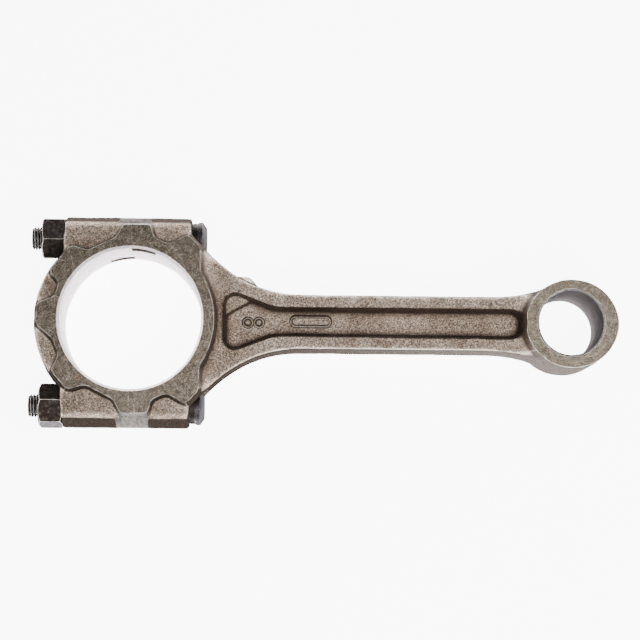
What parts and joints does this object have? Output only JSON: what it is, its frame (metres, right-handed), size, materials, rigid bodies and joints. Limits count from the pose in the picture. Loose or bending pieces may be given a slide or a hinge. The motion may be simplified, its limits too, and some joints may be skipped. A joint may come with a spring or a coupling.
{
  "type": "connecting rod",
  "caption": "Forged I-section connecting rod with a split big end, a cap held on by bolts and nuts, and a plain eye for the piston pin.",
  "frame": {"origin": "centre of the crank bore, halfway through its width", "axes": "+Z along the crank bore, +X towards the piston-pin eye, +Y towards the oil-jet side"},
  "size_m": [0.2012, 0.0728, 0.029],
  "materials": {
    "forging": "shot-blasted forged steel with ground thrust faces and honed bores",
    "fasteners": "black oxide, worn bright on the edges"
  },
  "bodies": {
    "rod": {"rod_forging": "forging", "bolt_upper": "fasteners", "bolt_lower": "fasteners"},
    "cap": {"bearing_cap": "forging"},
    "upper_nut": {"nut_upper": "fasteners"},
    "lower_nut": {"nut_lower": "fasteners"}
  },
  "joints": [
    {"name": "upper_nut_turn", "type": "hinge", "parent": "cap", "child": "upper_nut", "pos_m": [-0.0228, 0.029, 0], "axis": [-1, 0, 0], "range_deg": [0, 3600]},
    {"name": "lower_nut_turn", "type": "hinge", "parent": "cap", "child": "lower_nut", "pos_m": [-0.0228, -0.029, 0], "axis": [-1, 0, 0], "range_deg": [0, 3600]},
    {"name": "cap_slide", "type": "slide", "parent": "rod", "child": "cap", "axis": [-1, 0, 0], "range_m": [0, 0.01]}
  ],
  "couplings": [
    {"joint": "upper_nut_turn", "follows": "cap_slide", "rad_per_m": 6283.2},
    {"joint": "lower_nut_turn", "follows": "cap_slide", "rad_per_m": 6283.2}
  ]
}
